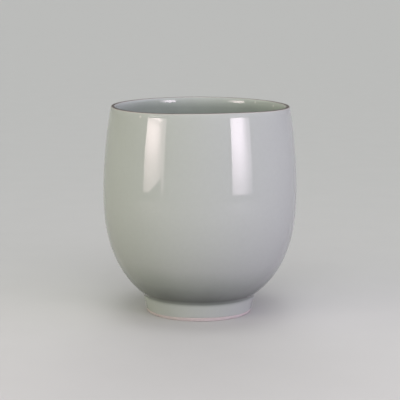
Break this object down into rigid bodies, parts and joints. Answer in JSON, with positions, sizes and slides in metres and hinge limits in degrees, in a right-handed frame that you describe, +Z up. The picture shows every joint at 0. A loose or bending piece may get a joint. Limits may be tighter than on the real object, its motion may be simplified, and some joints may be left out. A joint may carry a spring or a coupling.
{
  "type": "brush holder pot",
  "caption": "Barrel-shaped open ceramic pot on a low foot ring, glazed inside and out, that stands on a desk and holds brushes upright.",
  "frame": {"origin": "centre of the foot ring's resting face, on the table", "axes": "+Z up along the axis that the pot is turned about, towards the mouth"},
  "size_m": [0.1022, 0.1022, 0.11],
  "materials": {
    "bare_clay": "fired, unglazed, matte",
    "dried_slip": "fired, unglazed, matte",
    "celadon_glaze": "gloss",
    "thin_rim_glaze": "gloss"
  },
  "bodies": {
    "root": {"clay_body": "bare_clay", "foot_ring": "bare_clay", "luting_slip": "dried_slip", "outer_glaze": "celadon_glaze", "rim_glaze": "thin_rim_glaze", "inner_glaze": "celadon_glaze", "base_glaze": "celadon_glaze"}
  },
  "joints": []
}
